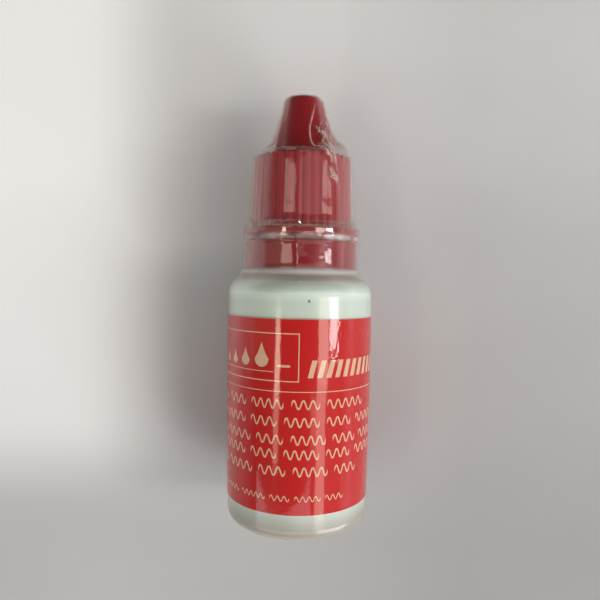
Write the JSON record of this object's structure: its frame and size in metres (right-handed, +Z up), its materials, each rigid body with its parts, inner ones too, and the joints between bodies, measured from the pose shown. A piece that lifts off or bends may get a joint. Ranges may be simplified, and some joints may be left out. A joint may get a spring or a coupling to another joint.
{
  "type": "dropper ink bottle",
  "caption": "Round squeeze bottle with a wrap label, press-in dropper plug, ribbed screw cap with tapered nose, loose tamper ring and clear shrink film over the cap.",
  "frame": {"origin": "centre of the bottle's base, on the plane it stands on", "axes": "+Z up along the bottle axis towards the nose of the cap; -Y faces the printed front of the label, the label seam is at +Y"},
  "size_m": [0.0232, 0.0232, 0.0679],
  "materials": {
    "bottle_plastic": "smooth white low-density polyethylene, slightly translucent, soft gloss",
    "ink": null,
    "label_print": "glossy coated label, red with cream print",
    "plug_plastic": "natural low-density polyethylene",
    "cap_plastic": "moulded crimson polypropylene, satin gloss",
    "clear_film": "thin clear shrink film with creases"
  },
  "bodies": {
    "bottle": {"bottle_body": "bottle_plastic", "label": "label_print", "dropper_plug": "plug_plastic", "ink_fill": "ink"},
    "ring": {"tamper_ring": "cap_plastic"},
    "cap": {"screw_cap": "cap_plastic"},
    "film": {"shrink_film": "clear_film"}
  },
  "joints": [
    {"name": "cap_turn", "type": "hinge", "parent": "bottle", "child": "ring", "pos_m": [0, 0, 0.0424], "axis": [0, 0, 1], "range_deg": [0, 540]},
    {"name": "cap_rise", "type": "slide", "parent": "ring", "child": "cap", "axis": [0, 0, 1], "range_m": [0, 0.0045]},
    {"name": "film_off", "type": "slide", "parent": "cap", "child": "film", "axis": [0, 0, 1], "range_m": [0, 0.034]}
  ],
  "couplings": [
    {"joint": "cap_rise", "follows": "cap_turn", "m_per_rad": 0.00047746}
  ]
}
